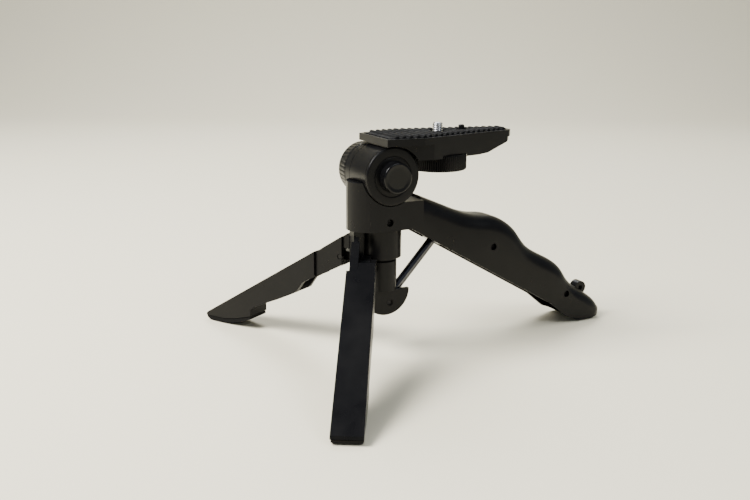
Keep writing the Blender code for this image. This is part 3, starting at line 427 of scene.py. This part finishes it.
def tilt_lock_knob(low, high, r):
    front, back = low.y, high.y
    dish = back - KNOB_DISH_DEPTH
    pocket, hole = front + NUT_POCKET_DEPTH, front + BOLT_HOLE_DEPTH
    return ((0, dish, 0), (r - KNOB_DISH_INSET, dish, 0.002), (r - KNOB_LIP_INSET, back, 0.001),
            (r - KNOB_SHOULDER[0], back - KNOB_SHOULDER[1], 0.0030), (r, front + KNOB_SIDE_FROM, 0.003),
            (r - KNOB_MOUTH_INSET, front, 0.0006), (NUT_POCKET_R, front, 0.0002),
            (NUT_POCKET_R, pocket, 0), (BOLT_HOLE_R, pocket, 0), (BOLT_HOLE_R, hole, 0), (0, hole, 0))


def knob_flutes():
    low, high, r = box_and_radius("tilt_lock_knob")

    def flutes(angle, radius, height):
        if radius < r - FLUTE_REACH or height > high.y - FLUTE_TO or height < low.y + FLUTE_FROM:
            return 0.0
        return FLUTE_DEPTH * max(0.0, math.cos(FLUTES * angle)) ** 2
    return flutes


def tilt_drum():
    axis = middle("barrel_cover")
    turn = Matrix.Translation((axis.x, 0, axis.z)) @ Matrix.Rotation(math.radians(-90), 4, "X")
    for name, profile, shape in (("barrel_cover", barrel_cover, ()),
                                 ("cover_cap", cover_cap, ()),
                                 ("tilt_lock_knob", tilt_lock_knob, (KNOB_SEGMENTS, knob_flutes()))):
        line = filleted(profile(*box_and_radius(name)), DRUM_FILLET_STEPS)
        piece(name, lathed(line, turn, *shape))


# --- camera screw, its wheel and the video pin ------------------------------
def camera_screw():
    """Quarter-inch screw with a helical thread and a chamfered tip."""
    low, high, r = box_and_radius("camera_screw")
    centre = middle("camera_screw")
    start = high.z - THREAD_LENGTH
    bm = bmesh.new()
    rings = []
    heights = [start + THREAD_LENGTH * k / THREAD_STEPS for k in range(THREAD_STEPS + 1)]
    for h in [low.z, start - THREAD_RUN_IN] + heights:
        ring = []
        for k, angle in enumerate(around(SCREW_SIDES)):
            phase = ((h - start) / THREAD_PITCH - k / SCREW_SIDES) % 1.0
            cut = min(1.0, max(0.0, abs(phase - 0.5) * THREAD_SLOPE - THREAD_FLAT))
            depth = THREAD_DEPTH * cut if h > start - THREAD_RUN_IN / 2 else 0.0
            fade = min(1.0, (high.z - h) / TIP_LENGTH)
            rr = min(r - depth, r - TIP_CUT + TIP_CUT * fade)
            ring.append(bm.verts.new((centre.x + rr * math.cos(angle), rr * math.sin(angle), h)))
        rings.append(ring)
    skin(bm, rings)
    piece("camera_screw", bm, SMOOTH_ANGLE_FINE)


def thumb_wheel():
    """Knurled wheel, dished underneath round a hub; its profile closes on itself."""
    low, high, r = box_and_radius("thumb_wheel")
    dish, hub = low.z + WHEEL_DISH_DEPTH, low.z + WHEEL_HUB_SET_BACK
    line = filleted(((WHEEL_BORE_R, high.z, 0), (r, high.z, WHEEL_FILLET), (r, low.z, WHEEL_FILLET),
                     (WHEEL_DISH_R[0], low.z, 0.0005), (WHEEL_DISH_R[1], dish, 0.0004),
                     (WHEEL_HUB_R, dish, 0.0003), (WHEEL_HUB_R, hub, 0.0003),
                     (WHEEL_BORE_R, hub, 0), (WHEEL_BORE_R, high.z, 0)), 4)

    def knurl(angle, radius, height):
        if radius < r - TOOTH_REACH:
            return 0.0
        return TOOTH_DEPTH * (0.5 - 0.5 * math.cos(WHEEL_TEETH * angle))
    turn = Matrix.Translation((middle("thumb_wheel").x, 0, 0))
    piece("thumb_wheel", lathed(line, turn, WHEEL_TEETH * SEGMENTS_PER_TOOTH, knurl), SMOOTH_ANGLE_TEETH)


def video_pin():
    low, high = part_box("video_pin")
    flange = low.z + PIN_FLANGE_HEIGHT
    line = filleted(((0, low.z, 0), (PIN_FLANGE_R, low.z, 0), (PIN_FLANGE_R, flange, 0.0002),
                     (PIN_R, flange, 0), (PIN_R, high.z - PIN_NOSE_HEIGHT, 0.0006),
                     (PIN_NOSE_R, high.z, 0.0005), (0, high.z, 0)))
    turn = Matrix.Translation((middle("video_pin").x, 0, 0))
    piece("video_pin", lathed(line, turn, PIN_SEGMENTS))


def pin_spring():
    """Coil under the video pin, with a mesh of its own."""
    low, high, r = box_and_radius("pin_spring")
    centre = middle("pin_spring")
    wire = SPRING_WIRE_R
    bm = bmesh.new()
    rings = []
    steps = SPRING_TURNS * SPRING_STEPS
    for i in range(steps + 1):
        t = i / steps
        angle = 2 * math.pi * SPRING_TURNS * t
        out = Vector((math.cos(angle), math.sin(angle), 0))
        height = low.z + wire + (high.z - low.z - 2 * wire) * t
        mid = Vector((centre.x, centre.y, height)) + out * (r - wire)
        rings.append([bm.verts.new(mid + out * wire * math.cos(a) + Vector((0, 0, wire * math.sin(a))))
                      for a in around(SPRING_SIDES)])
    skin(bm, rings)
    spring = piece("pin_spring", bm, SMOOTH_ANGLE_TEETH)
    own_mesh(spring)


# --- ribbed pad --------------------------------------------------------------
def half_width(x, low, high):
    """Half width of the pad's tapering plan at x."""
    wide_x, narrow_x = low.x + PAD_WIDEST_FROM_BACK, high.x - PAD_END_LENGTH
    wide = (high.y - low.y) / 2
    back, front = wide - PAD_BACK_INSET, PAD_FRONT_HALF
    if x < wide_x:
        return back + (wide - back) * (x - low.x) / (wide_x - low.x)
    if x < narrow_x:
        return wide + (front - wide) * (x - wide_x) / (narrow_x - wide_x)
    return front - (x - narrow_x)


def rib_top(x, low, high):
    """Height of the pad's top at x: a flat floor with rounded ribs across it."""
    base = high.z - RIB_HEIGHT
    start = low.x + RIBS_START
    phase = ((x - start) / RIB_PITCH) % 1.0
    if phase < RIB_GAP_SHARE or x < start or x > high.x - RIBS_END:
        return base
    t = (phase - RIB_GAP_SHARE) / (1 - RIB_GAP_SHARE) * 2 - 1
    return base + (high.z - base) * max(0.0, 1 - abs(t) ** RIB_ROUNDNESS) ** 0.5


def pad_stations(low, high, holes):
    """Places along the pad where it is cut, with one on each edge of each hole."""
    width = high.x - low.x
    spans = sorted({low.x + width * k / PAD_SPANS for k in range(PAD_SPANS + 1)}
                   | {cx + s * r * HOLE_EDGE_SHARE for cx, r in holes for s in (-1, 1)})
    fine = []
    for a, b in zip(spans, spans[1:]):
        fine += [a + (b - a) * k / PAD_SUBSPANS for k in range(PAD_SUBSPANS)]
    return fine + [spans[-1]]


def pad_section(x, low, high, holes):
    """Outline of one half of the pad at x, from the middle or a hole's edge outward."""
    outer, inner = half_width(x, low, high) - PAD_SIDE_GAP, 0.0
    for cx, r in holes:
        if abs(x - cx) < r:
            inner = math.sqrt(r * r - (x - cx) ** 2)
    top = rib_top(x, low, high)
    edge = min(PAD_EDGE, (top - low.z) * 0.5)
    cut = edge * PAD_EDGE_CUT
    return ((inner, low.z), (inner, top - cut), (inner + cut, top), ((outer + inner) / 2, top),
            (outer - edge, top), (outer - cut, top - cut), (outer, top - edge), (outer, low.z))


def platform_pad():
    """The pad in two mirrored halves that meet in a wall along its middle."""
    low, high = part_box("platform_pad")
    holes = ((middle("camera_screw").x, SCREW_HOLE_R), (middle("video_pin").x, PIN_HOLE_R))
    stations = pad_stations(low, high, holes)
    bm = bmesh.new()
    for side in (-1, 1):
        skin(bm, [[bm.verts.new((x, side * y, z)) for y, z in pad_section(x, low, high, holes)]
                  for x in stations])
    piece("platform_pad", bm, SMOOTH_ANGLE_FINE)


# --- CAD nodes that keep their shape --------------------------------------
def keep_cad_nodes():
    """Give every CAD node its material, with its edges rounded or left crisp."""
    for name, obj in frame["nodes"].items():
        obj.data.materials.clear()
        obj.data.materials.append(NODE_PAINTED_SHEEN_MATERIALS.get(name, MATERIALS[SLOT_OF[name]]))
        if "custom_normal" in obj.data.attributes:
            obj.data.attributes.remove(obj.data.attributes["custom_normal"])
        obj.data.shade_smooth()
        weld = obj.modifiers.new("weld", "WELD")
        weld.merge_threshold = WELD_DISTANCE
        if name in ROUNDED_NODES:
            rounded_edges(obj, *ROUNDED_NODES[name])
        else:
            split = obj.modifiers.new("crisp_edges", "EDGE_SPLIT")
            split.split_angle = math.radians(CAD_SMOOTH_ANGLE)


# --- floor, light and camera ----------------------------------------------
def area_light(name, place, target, size, power, colour):
    data = bpy.data.lights.new(name, "AREA")
    data.shape = "RECTANGLE"
    data.size, data.size_y = size
    data.energy = power
    data.color = colour
    obj = bpy.data.objects.new(name, data)
    bpy.context.collection.objects.link(obj)
    obj.location = place
    obj.rotation_euler = (Vector(target) - Vector(place)).to_track_quat("-Z", "Y").to_euler()


def sweep():
    """Plain pale floor that curves up into a backdrop, square to the camera."""
    bm = bmesh.new()
    line = [(FLOOR_FRONT, 0.0)]
    for k in range(COVE_STEPS + 1):
        angle = math.pi / 2 * k / COVE_STEPS
        line.append((FLOOR_BACK + COVE_RADIUS * math.sin(angle), COVE_RADIUS * (1 - math.cos(angle))))
    line.append((FLOOR_BACK + COVE_RADIUS, WALL_TOP))
    rows = [[bm.verts.new((x, y, z)) for x in (-FLOOR_HALF_WIDTH, FLOOR_HALF_WIDTH)] for y, z in line]
    for a, b in zip(rows, rows[1:]):
        bm.faces.new((a[0], a[1], b[1], b[0]))
    bm.transform(Matrix.Rotation(math.radians(CAMERA_TURN), 4, "Z"))
    mesh = bpy.data.meshes.new("studio_floor")
    bm.to_mesh(mesh)
    bm.free()
    mesh.shade_smooth()
    floor = bpy.data.objects.new("studio_floor", mesh)
    bpy.context.collection.objects.link(floor)
    mat, tree, bsdf = new_material("floor_look")
    bsdf.inputs["Base Color"].default_value = FLOOR_COLOUR
    bsdf.inputs["Roughness"].default_value = 0.85
    bsdf.inputs["Specular IOR Level"].default_value = 0.2
    mesh.materials.append(mat)


def studio():
    sweep()
    world = bpy.data.worlds.new("studio_world")
    world.use_nodes = True
    background = world.node_tree.nodes["Background"]
    background.inputs["Color"].default_value = WORLD_COLOUR
    background.inputs["Strength"].default_value = WORLD_STRENGTH
    bpy.context.scene.world = world
    for name, setting in LIGHTS.items():
        area_light(name, *setting)


def camera():
    """The photograph's viewpoint, about half a metre away and a little above."""
    data = bpy.data.cameras.new("camera")
    data.sensor_width = CAMERA_SENSOR
    data.lens = CAMERA_LENS
    data.clip_start = CAMERA_CLIP_START
    obj = bpy.data.objects.new("camera", data)
    bpy.context.collection.objects.link(obj)
    turn = Matrix.Rotation(math.radians(CAMERA_TURN), 4, "Z")
    tip = Matrix.Rotation(math.radians(CAMERA_TIP), 4, "X")
    roll = Matrix.Rotation(math.radians(CAMERA_ROLL), 4, "Z")
    obj.matrix_world = Matrix.Translation(CAMERA_PLACE) @ turn @ tip @ roll
    bpy.context.scene.camera = obj


keep_cad_nodes()
tilt_drum()
camera_screw()
thumb_wheel()
video_pin()
pin_spring()
platform_pad()
studio()
camera()
